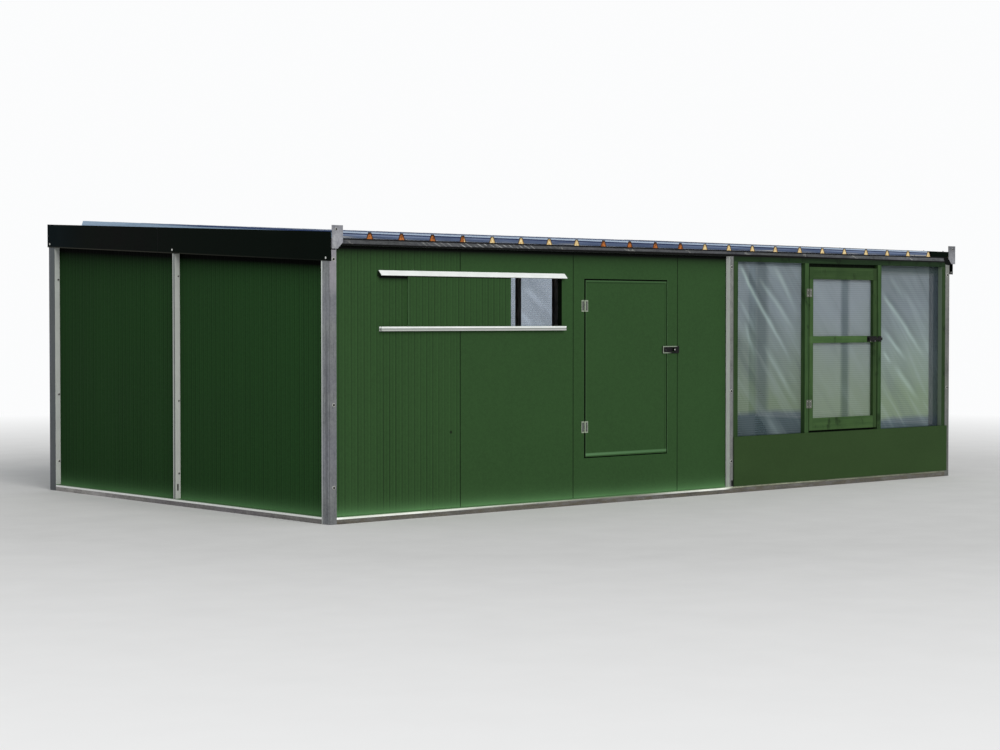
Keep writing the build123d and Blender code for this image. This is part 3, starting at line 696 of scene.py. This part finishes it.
def rib_filler(name):
    """Foam blocks under the ribs: two groups of four aged to orange brown, the others cream, with
    painted shade round their edges and tops.
    """
    p = Paint(name, rough=0.9, shine=0.05)
    first = p.math("DIVIDE", p.minus(p.x, RIBS[0] / 1000), RIBS[1] / 1000)
    last = p.math("DIVIDE", p.minus(p.x, LAST_RIBS[0] / 1000), LAST_RIBS[1] / 1000)
    last = p.add(last, float(RIBS[2]))
    right = p.span(p.x, 1.09, 1.0901)
    number = p.add(p.both(first, p.minus(1.0, right)), p.both(last, right))
    one = p.drop(number, 3.48, 3.52)
    two = p.times(p.span(number, 7.4, 7.6), p.drop(number, 11.4, 11.6))
    aged = p.add(one, two, clamp=True)
    half = p.both(p.within(number, 3.04, 3.3, 0.004), 0.85)
    aged = p.minus(aged, half, clamp=True)
    patch = p.noise(85, detail=4, rough=0.65)
    share = p.minus(p.math("FRACT", p.add(number, 0.5)), 0.5)
    aside = p.times(p.math("ABSOLUTE", share), RIBS[1] / 1000)
    room = p.span(p.z, EAVE, EAVE + 0.038, 0.026, 0.0105)
    ragged = p.math("MULTIPLY_ADD", patch, 0.012, -0.006)
    # Painted shade round each block's edge and over its top, under the sheet
    rim = p.drop(p.add(p.minus(room, aside), ragged), 0.003, 0.008)
    crown = p.math("MULTIPLY_ADD", patch, 0.016, p.minus(p.z, 0.008))
    top = p.span(crown, EAVE + 0.024, EAVE + 0.031)
    pores = p.noise(240, detail=3)
    cream = p.tones(patch, 0.38, 0.62, (232, 214, 164), (190, 154, 98))
    brown = p.tones(patch, 0.40, 0.60, (186, 112, 58), (108, 62, 36))
    c = p.mix(aged, cream, brown)
    c = p.coat(c, p.span(pores, 0.55, 0.75, 0, 0.3), (96, 62, 34))
    c = p.coat(c, p.both(rim, 0.8), (66, 44, 26))
    c = p.coat(c, p.both(top, p.span(aged, 0, 1, 0.3, 0.8)), (58, 40, 26))
    p.bump((pores, 0.0012), (patch, 0.004))
    return p.finish(c)


# Trim and fittings

def white_trim(name):
    """Light folded trim: in the runner a bright top edge over a darker groove; painted shade on its
    undersides.
    """
    p = Paint(name, rough=0.4, shine=0.15)
    patch = p.noise(9, detail=5)
    dirt = p.noise(34, detail=7, rough=0.7)
    c = p.tones(patch, 0.3, 0.7, (238, 241, 240), (224, 228, 225))
    c = p.coat(c, p.span(dirt, 0.62, 0.8, 0, 0.3), (176, 178, 170))
    front = p.faces(p.ny, -1)
    for a, b, tone in ((1.1985, 1.2065, (128, 132, 128)), (1.1935, 1.1985, (150, 153, 149)),
                       (1.180, 1.1935, (170, 173, 168))):
        c = p.coat(c, p.both(front, p.within(p.z, a, b, 0.0008), 0.95), tone)
    c = p.coat(c, p.both(front, p.within(p.z, 1.530, 1.5395)), (120, 126, 118))
    # Painted shade on the undersides
    c = p.coat(c, p.both(p.faces(p.nz, -1), 0.8), (60, 64, 58))
    p.bump((patch, 0.0003))
    return p.finish(c, p.swing(patch, 0.32, 0.5))


def sill_trim(name):
    """The strip under the walls: clean and white by the house, greyer by the shelter."""
    p = Paint(name, rough=0.45, shine=0.1)
    patch = p.noise((5, 5, 20), detail=6, rough=0.7)
    clean_and_lit = p.mix(house_clean(p), linear((84, 88, 70)), linear((232, 236, 226)))
    clean_and_lit = p.coat(clean_and_lit, p.span(p.x, -3.02, -3.03), (246, 248, 244))
    grey = p.tones(patch, 0.35, 0.6, (138, 142, 124), (96, 98, 84))
    c = p.mix(p.span(p.x, *HOUSE_END), clean_and_lit, grey)
    c = p.gain(c, p.both(p.within(p.x, 0.46, 1.4, 0.15), p.span(p.z, 0.036, 0.040)), 2.2)
    top = p.both(p.span(p.z, 0.0405, 0.0425), p.drop(p.x, *HOUSE_END))
    c = p.coat(c, top, (80, 116, 76))
    p.bump((patch, 0.0004))
    return p.finish(c)


def fittings(name, black, rim, flat, lows, height, margin, columns, marks=None):
    """Zinc hinges with light rims round dull flats, and black fittings where x is in range."""
    p = Paint(name, metallic=0.2, shine=0.2)
    wear_and_sheen = p.noise(120, detail=6, rough=0.7)
    hinge, plate = [p.tones(wear_and_sheen, 0.4, 0.7, tone, [v * 0.8 for v in tone]) for tone in (rim, flat)]
    spans = [((low + margin) / 1000, (low + height - margin) / 1000) for low in lows]
    flats = [p.both(p.within(p.x, *column, 0.002), p.within(p.z, *span, 0.003))
             for column in columns for span in spans]
    hinge = p.mix(p.both(p.either(*flats), 0.9), hinge, plate)
    dark = p.tones(wear_and_sheen, 0.62, 0.74, (10, 10, 10), (120, 120, 114))
    if marks:
        dark = marks(p, dark)
    p.bump((wear_and_sheen, 0.0003))
    return p.finish(p.mix(p.within(p.x, *black), hinge, dark), p.swing(wear_and_sheen, 0.4, 0.6))


def hasp_marks(p, c):
    """Light edges at the hasp's left end, along its top and under its leaf."""
    end = p.drop(p.x, -0.184, -0.181)
    top = p.both(p.span(p.z, 1.0665, 1.069), p.drop(p.x, -0.06, -0.04))
    foot = p.both(p.drop(p.z, 1.028, 1.0305), p.drop(p.x, -0.15, -0.10))
    return p.coat(c, p.both(p.either(end, top, foot), p.faces(p.ny, -1), 0.9), (140, 152, 134))


def plain_metal(name, light, dark, metallic=0.4):
    """Small fixings, worn unevenly."""
    p = Paint(name, metallic=metallic, shine=0.3)
    wear_and_sheen = p.noise(140, detail=5, rough=0.7)
    c = p.tones(wear_and_sheen, 0.4, 0.7, light, dark)
    p.bump((wear_and_sheen, 0.0003))
    return p.finish(c, p.swing(wear_and_sheen, 0.35, 0.6))


def dull(name, light, dark):
    """Seals, shadows in joints and painted edges."""
    p = Paint(name, shine=0.04)
    dust = p.noise(50, detail=5)
    c = p.tones(dust, 0.4, 0.75, light, dark)
    p.bump((dust, 0.0003))
    return p.finish(c, p.swing(dust, 0.7, 0.9))


def dress(material, *names):
    for name in names:
        mesh = nodes[name].data
        mesh.materials.clear()
        mesh.materials.append(material)


# The eave rail's tones are dark for dirt and as painted shade under the roof
rail_tones = ((58, 60, 62), (82, 84, 85), (30, 31, 34))
inner_tones = ((84, 86, 88), (112, 114, 114), (44, 45, 48))
dress(zinc_steel("zinc_corner_left", (94, 96, 98), (116, 118, 119), (66, 68, 72), "z",
                 corner_marks, end=1.68), "corner_post_front_left")
dress(zinc_steel("zinc_corner_right", (86, 88, 86), (106, 108, 103), (58, 60, 58), "z",
                 right_marks), "corner_post_front_right")
dress(zinc_steel("zinc_corner_back", (84, 88, 90), (104, 108, 110), (58, 60, 64), "z",
                 back_marks), "corner_posts_back")
dress(zinc_steel("zinc_middle", (96, 98, 96), (120, 122, 118), (64, 66, 66), "z",
                 middle_marks), "middle_posts")
dress(zinc_steel("zinc_plates", (130, 132, 136), (158, 160, 162), (98, 100, 104), "z",
                 plate_marks), "corner_plates")
dress(zinc_steel("zinc_eave", *rail_tones, "x", eave_marks), "eave_rails")
dress(zinc_steel("zinc_purlins", *inner_tones, "x"), "roof_purlins")
dress(zinc_steel("zinc_cross", *inner_tones, "y"), "roof_cross_rails")
dress(zinc_steel("zinc_base_x", (80, 80, 76), (104, 103, 98), (56, 54, 52), "x",
                 base_marks), "base_rails_long")
dress(zinc_steel("zinc_base_y", (108, 106, 104), (132, 130, 127), (80, 76, 76), "y",
                 end_base_marks), "base_rails_cross")
dress(sill_trim("trim_strip"), "sill_strips")
dress(green_panel("panel_first", ribs="x", marks=first_marks), "front_panel_1")
dress(green_panel("panel_shutter", ribs="x", edge=(96, 134, 90), marks=shutter_marks),
      "window_shutter")
dress(green_panel("panel_plain"), "front_panel_2", "front_panel_3_left", "front_panel_3_right",
      "front_panel_3_above_and_below_door", "front_panel_4")
dress(green_panel("panel_door", marks=door_marks), "house_door")
# The end wall's green is darker than the front's, as painted shade
dress(green_panel("panel_left_end", ribs="y", face="x", top=(31, 57, 29), rib=0.9, shine=0.01),
      "left_wall_panels")
dress(green_panel("panel_back", ribs="x", outward=1), "back_wall_panels")
dress(white_trim("trim_white"), "window_runners")
# The rails' dark green is painted shade, for the header under the roof
dress(timber("timber_rails", "x", (40, 62, 36), (27, 45, 26), (62, 84, 50), header_marks),
      "shelter_front_rails", "shelter_rear_rails")
dress(timber("timber_uprights", "z", (62, 88, 50), (42, 66, 37), (88, 112, 70), upright_marks),
      "shelter_front_uprights", "shelter_rear_uprights")
dress(timber("timber_stops", "z", (22, 34, 19), (10, 17, 9), (34, 48, 29)),
      "shelter_door_stops")
dress(timber("timber_door", "z", (66, 92, 52), (46, 70, 39), (94, 116, 74), door_frame_marks,
             (DOOR_OPENING, *DOOR_RAILS), 0.8), "shelter_door_frame")
dress(timber("timber_partition", "z", (186, 172, 158), (128, 116, 106), (206, 196, 184)),
      "partition_uprights")
dress(timber("timber_partition_rail", "y", (150, 138, 128), (98, 88, 80), (176, 166, 154)),
      "partition_rails")
dress(green_board("board_green"), "shelter_lower_boards")
dress(cloudy_sheet("sheet_front", 0.72, 0.35, (136, 150, 158), (122, 142, 116), (90, 106, 112),
                   level=(0.575, 0.485),
                   creases=((0.61, 1.65, 1.20, 0.91, 0.016, 0.9),
                            (0.61, 1.66, 0.78, 1.42, 0.014, 0.7),
                            (0.83, 1.57, 1.24, 1.15, 0.018, 0.6),
                            (1.00, 1.66, 1.26, 1.28, 0.020, 0.5),
                            (0.67, 1.24, 0.79, 0.97, 0.016, 0.5),
                            (0.87, 1.07, 1.28, 0.59, 0.022, 0.45),
                            (0.60, 1.42, 0.80, 1.15, 0.020, 0.35),
                            (2.28, 1.45, 2.79, 0.95, 0.018, 0.7),
                            (2.28, 1.45, 2.42, 1.30, 0.014, 0.5),
                            (2.27, 1.17, 2.56, 0.93, 0.018, 0.6),
                            (2.27, 1.00, 2.36, 0.91, 0.014, 0.5),
                            (2.41, 0.89, 2.73, 0.61, 0.022, 0.4),
                            (2.34, 1.60, 2.55, 1.40, 0.022, 0.35),
                            (2.94, 1.55, 3.00, 1.42, 0.010, 0.6)),
                   shades=((0.85, 0.07, 0.6),), marks=front_sheet_marks),
      "shelter_front_sheets")
dress(cloudy_sheet("sheet_door", 0.72, 0.35, (147, 159, 167), (138, 157, 134),
                   (138, 150, 142), level=(0.3, 0.3), streaks=0.35,
                   shades=((1.79, 0.05, 0.45),)),
      "shelter_door_pane")
dress(cloudy_sheet("sheet_rear", 0.36, 0.55, (176, 188, 196), (150, 170, 148), (120, 132, 140),
                   streaks=0.4), "shelter_rear_sheets")
dress(cloudy_sheet("sheet_partition", 0.18, 0.6, (224, 232, 242), (210, 220, 232),
                   (200, 210, 222), run="y", streaks=0.7, flute=0.3, tint=(242, 248, 255),
                   creases=((-0.56, 1.53, -0.22, 1.30, 0.026, 0.8),
                            (-0.57, 1.31, -0.43, 1.20, 0.02, 0.6)), uneven=0.08),
      "partition_sheet")
dress(roof_steel("roof_steel"), "roof_sheet_left", "roof_sheet_middle", "roof_sheet_right")
dress(black_flashing("flashing_black"), "barge_flashings")
dress(rib_filler("filler_foam"), "eave_foam_fillers")
dress(fittings("fittings_house", (-0.20, 0.1), (152, 164, 144), (72, 72, 76), HOUSE_HINGES, 79, 8,
               ((-0.966, -0.949), (-0.933, -0.916)), hasp_marks),
      "house_door_hardware", "house_door_fixings")
dress(fittings("fittings_shelter", (1.9, 2.3), (112, 116, 106), (86, 88, 84), SHELTER_HINGES, 62, 6,
               ((1.315, 1.330), (1.346, 1.361))),
      "shelter_door_hardware", "shelter_door_fixings")
zinc = plain_metal("zinc_fixings", (150, 152, 150), (96, 97, 98))
iron = plain_metal("dark_fixings", (50, 50, 52), (20, 20, 21), 0.3)
light_screw = plain_metal("light_screws", (204, 204, 198), (140, 140, 136))
# Dark joints and seals, also used as painted shade behind the door's gaps
seal_and_shade = dull("seal_and_shade_dark", (5, 9, 5), (16, 24, 15))
jamb_highlight = dull("jamb_highlight_green", (74, 106, 70), (60, 88, 56))
black_trim = dull("trim_black", (10, 12, 11), (18, 20, 19))


# Mesh helpers

class Pieces:
    """Many small solids joined into one mesh."""

    def __init__(self):
        self.mesh = bmesh.new()

    def box(self, xa, xb, ya, yb, za, zb, bevel=0.0):
        """A block between two corners in millimetres of the frame, with small bevels."""
        made = bmesh.ops.create_cube(self.mesh, size=1.0)["verts"]
        size = [(xb - xa) / 1000, (yb - ya) / 1000, (zb - za) / 1000]
        middle = [(xa + xb) / 2000, (ya + yb) / 2000, (za + zb) / 2000]
        bmesh.ops.scale(self.mesh, vec=size, verts=made)
        bmesh.ops.translate(self.mesh, vec=middle, verts=made)
        if bevel:
            edges = {e for v in made for e in v.link_edges}
            bmesh.ops.bevel(self.mesh, geom=list(edges), offset=bevel / 1000, segments=2,
                            profile=0.5, affect="EDGES")

    def prism(self, outline, ya, yb):
        """A prism along Y from (x, z) corners in millimetres."""
        rings = []
        for y in (ya, yb):
            rings.append([self.mesh.verts.new((x / 1000, y / 1000, z / 1000))
                          for x, z in outline])
        count = len(outline)
        for i in range(count):
            j = (i + 1) % count
            self.mesh.faces.new((rings[0][i], rings[0][j], rings[1][j], rings[1][i]))
        self.mesh.faces.new(rings[0][::-1])
        self.mesh.faces.new(rings[1])

    def lathe(self, place, axis, outline, steps):
        """A turned solid: outline is (radius, height) pairs in millimetres from the base."""
        axis = Vector(axis).normalized()
        side = axis.orthogonal().normalized()
        other = axis.cross(side)
        rings = []
        for radius, height in outline:
            ring = []
            for step in range(steps):
                angle = 2 * pi * step / steps
                point = Vector(place) + axis * height
                point += (side * cos(angle) + other * sin(angle)) * radius
                ring.append(self.mesh.verts.new(point / 1000))
            rings.append(ring)
        for lower, upper in zip(rings, rings[1:]):
            for i in range(steps):
                j = (i + 1) % steps
                self.mesh.faces.new((lower[i], lower[j], upper[j], upper[i]))
        self.mesh.faces.new(rings[0][::-1])
        self.mesh.faces.new(rings[-1])

    def done(self, name, material, slot, body="shed"):
        """Make the piece with its material, on its body; the slot is not used."""
        mesh = bpy.data.meshes.new(name)
        bmesh.ops.recalc_face_normals(self.mesh, faces=self.mesh.faces)
        self.mesh.to_mesh(mesh)
        self.mesh.free()
        mesh.materials.append(material)
        piece = placed(name, mesh)
        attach(piece, body)


def dome_bolt(heads, washers, place, axis, r=8):
    """A cup-head bolt of radius r on a lighter flat washer."""
    washers.lathe(place, axis, [(r * 1.45, 0), (r * 1.45, 1.6), (r * 1.3, 2.0)], 20)
    heads.lathe(place, axis, [(r, 1.8), (r, 3.0), (r * 0.86, 5.4), (r * 0.5, 7.2),
                              (r * 0.12, 7.8)], 20)


def pan_screw(pieces, place, r):
    """A small domed screw head of radius r."""
    pieces.lathe(place, FRONT, [(r, 0), (r * 0.95, 0.9), (r * 0.6, 1.8), (r * 0.1, 2.1)], 12)


def roof_screw(pieces, x, y, lift, head=3.6):
    """A hexagon roofing screw on its sealing washer, lift above the roof's underside."""
    place, axis = (x, y, roof_under(y / 1000) * 1000 + lift), (0, -SLOPE, 1)
    pieces.lathe(place, axis, [(8, 0), (8, 0.8), (6.5, 1.6)], 16)
    pieces.lathe(place, axis, [(4.6, 1.4), (4.6, head), (3.9, head + 0.6)], 6)


# Bolts through the posts and plates
heads, washers = Pieces(), Pieces()
for x, heights in ((-3090, (227, 737, 1632)), (482, (231, 742, 1642)), (3023, (716, 1619))):
    for z in heights:
        dome_bolt(heads, washers, (x, POST_FACE, z), FRONT)
for z in (217, 710, 1555):
    dome_bolt(heads, washers, (-3092, 1664, z), FRONT, 6)
    dome_bolt(heads, washers, (-3092, 18, z), FRONT, 5)
dome_bolt(heads, washers, (-3073, POST_FACE - 5, 1817), FRONT, 6)
dome_bolt(heads, washers, (3084, POST_FACE - 5, 1826), FRONT, 6)
for x in (-3094, 3026):
    for z in (240, 760, 1600):
        dome_bolt(heads, washers, (x, -POST_FACE, z), BACK)
heads.done("bolt_heads", iron, "dark_ironmongery")
washers.done("bolt_washers", light_screw, "galvanised")

# Roofing screws: in the troughs between the ribs but for the one at the last sheet's lap, and
# a few taller ones along the eave at the right
troughs = []
for (start, pitch, count), left_out in ((RIBS, 1), (LAST_RIBS, 0)):
    troughs += [start + pitch * n + 125 for n in range(count - left_out)]
hexes = Pieces()
for y in (-1640, -850, 0, 850, 1640):
    for x in troughs:
        roof_screw(hexes, x, y, 1.3)
for x, lift in ((1744, 41.2), (2776, 41.2), (2660, 3), (3026, 42.7)):
    roof_screw(hexes, x, -1705, lift, 7)
hexes.done("roof_screws", zinc, "galvanised")

# Joints between the front panels and beside the posts, and the seal along the panels' tops
joints = Pieces()
behind = PANEL_FACE + 0.2
for x in (-2045, -1047.5, -37):
    joints.box(x - 2.5, x + 2.5, PANEL_FACE - 0.4, behind, PANEL_FOOT, 1720)
joints.box(461, 467, PANEL_FACE - 0.5, behind, PANEL_FOOT, 1720)
joints.box(-3068, -3064, PANEL_FACE - 2, behind, PANEL_FOOT, 1720)
joints.box(-3068, 467, PANEL_FACE - 3, behind, 1712, 1720, 0.5)
joints.done("panel_joints", seal_and_shade, "green_panel")

# Dark pieces behind the gaps over and under the house door's leaf: painted shade that keeps the gaps
# dark
gaps = Pieces()
for foot, head in ((1522, 1552), (300, 326)):
    gaps.box(-950, -134, -1664, -1660, foot, head, 0.5)
gaps.done("door_gap_shade", seal_and_shade, "black_flashing")

# A light strip on the latch side of the door opening: a painted highlight for the lit jamb
edges = Pieces()
edges.box(-140, -137, PANEL_FACE - 1.2, PANEL_FACE + 0.1, 313, 1540)
edges.done("door_opening_highlight", jamb_highlight, "green_panel")

# Folded lips on the runner
lips = Pieces()
for foot, head in ((1212, 1217), (1189, 1193)):
    lips.box(-2707, -1135, -1738.4, -1737, foot, head, 0.4)
lips.done("runner_lips", nodes["window_runners"].data.materials[0], "bright_trim")

# Tail of the flashing over the end of the eave rail and the head of the right-hand post
tail = Pieces()
tail.prism([(2976, 1762), (3034, 1762), (3042, 1740), (3064, 1725), (3064, 1710), (3045, 1698),
            (2999, 1704), (2992, 1724), (2976, 1744)], POST_FACE - 1.2, POST_FACE)
tail.done("flashing_tail", black_trim, "black_flashing")

# Screws of the house door's hinges and hasp, and the tip of the staple, made light as a painted
# glint
wall, leaf, hasp, staple = Pieces(), Pieces(), Pieces(), Pieces()
for low in HOUSE_HINGES:
    for z in (low + 14, low + 39.5, low + 65):
        pan_screw(wall, (-958, PANEL_FACE - 2.5, z), 3.2)
        pan_screw(leaf, (-924, PANEL_FACE - 2.5, z), 3.2)
wall.done("hinge_screws_wall", iron, "dark_ironmongery")
leaf.done("hinge_screws_leaf", iron, "dark_ironmongery", "house_door_leaf")
for x, z in ((-178, 1035), (-178, 1062), (-160, 1048.5)):
    pan_screw(hasp, (x, PANEL_FACE - 8, z), 4)
hasp.done("hasp_screws", iron, "dark_ironmongery", "house_door_leaf")
staple.lathe((-83, PANEL_FACE - 20, 1048.5), FRONT, [(5, 0), (5, 1.5), (3, 2.2)], 12)
staple.done("staple_tip", light_screw, "bright_trim")

# Screws of the shelter door's hinges and latch
posts, leaf, latch = Pieces(), Pieces(), Pieces()
for low in SHELTER_HINGES:
    for z in (low + 12, low + 50):
        pan_screw(posts, (1322, POST_FACE - 2.5, z), 3.2)
        pan_screw(leaf, (1354, POST_FACE - 2.5, z), 3.2)
posts.done("shelter_hinge_screws_post", light_screw, "bright_trim")
leaf.done("shelter_hinge_screws_leaf", light_screw, "bright_trim", "shelter_door_leaf")
for x in (2058, 2112):
    pan_screw(latch, (x, POST_FACE - 4, 1094.5), 3.6)
latch.done("latch_screws", light_screw, "bright_trim", "shelter_door_leaf")


# Stage, light and camera

def stage_floor():
    """A plain pale floor that turns into the backdrop's white far from the shed."""
    mesh = bpy.data.meshes.new("floor")
    size = 60.0
    mesh.from_pydata([(-size, -size, 0), (size, -size, 0), (size, size, 0), (-size, size, 0)], [],
                     [(0, 1, 2, 3)])
    floor = placed("floor", mesh)
    floor.location.z = -0.0008
    p = Paint("floor", rough=0.9)
    grain = p.noise(3, detail=6)
    p.finish(p.mix(p.swing(grain), (0.70, 0.70, 0.69, 1), (0.74, 0.74, 0.73, 1)))
    white = p.node("Emission", Color=BACKDROP)
    radius = p.node("VectorMath")
    radius.operation = "LENGTH"
    p.link(p.coords, radius.inputs[0])
    far = p.span(radius.outputs["Value"], 5.0, 13.0)
    p.link(p.blend(far, p.shader, white).outputs[0], p.out.inputs["Surface"])
    mesh.materials.append(p.material)


def sky():
    """Soft even light, and a white backdrop that only the camera sees."""
    world = bpy.data.worlds.new("sky")
    bpy.context.scene.world = world
    world.use_nodes = True
    tree = world.node_tree
    tree.nodes.clear()
    out = tree.nodes.new("ShaderNodeOutputWorld")
    soft = tree.nodes.new("ShaderNodeBackground")
    soft.inputs["Color"].default_value = (0.95, 0.97, 1.0, 1)
    soft.inputs["Strength"].default_value = 0.5
    seen = tree.nodes.new("ShaderNodeBackground")
    seen.inputs["Color"].default_value = BACKDROP
    seen.inputs["Strength"].default_value = 1.0
    path = tree.nodes.new("ShaderNodeLightPath")
    mix = tree.nodes.new("ShaderNodeMixShader")
    tree.links.new(path.outputs["Is Camera Ray"], mix.inputs[0])
    tree.links.new(soft.outputs[0], mix.inputs[1])
    tree.links.new(seen.outputs[0], mix.inputs[2])
    tree.links.new(mix.outputs[0], out.inputs["Surface"])


def sun(direction, strength, angle):
    """A wide soft lamp that shines along direction."""
    lamp = bpy.data.lights.new("key", "SUN")
    lamp.energy = strength
    lamp.angle = radians(angle)
    lamp.color = (1.0, 0.985, 0.96)
    placed("key", lamp).rotation_euler = Vector(direction).to_track_quat("-Z", "Y").to_euler()


def camera():
    """The photo's viewpoint, fitted to the shed's straight edges."""
    data = bpy.data.cameras.new("camera")
    data.sensor_width = 36.0
    data.lens = 74.853
    data.clip_end = 200.0
    view = placed("camera", data)
    view.location = (-10.6665, -12.068, 1.2633)
    view.rotation_euler = (radians(88.465), 0.0, radians(-40.8665))
    bpy.context.scene.camera = view


stage_floor()
sky()
sun(direction=(0.09, 0.86, -0.5), strength=2.05, angle=40)
camera()
bpy.context.scene.view_settings.view_transform = "Standard"
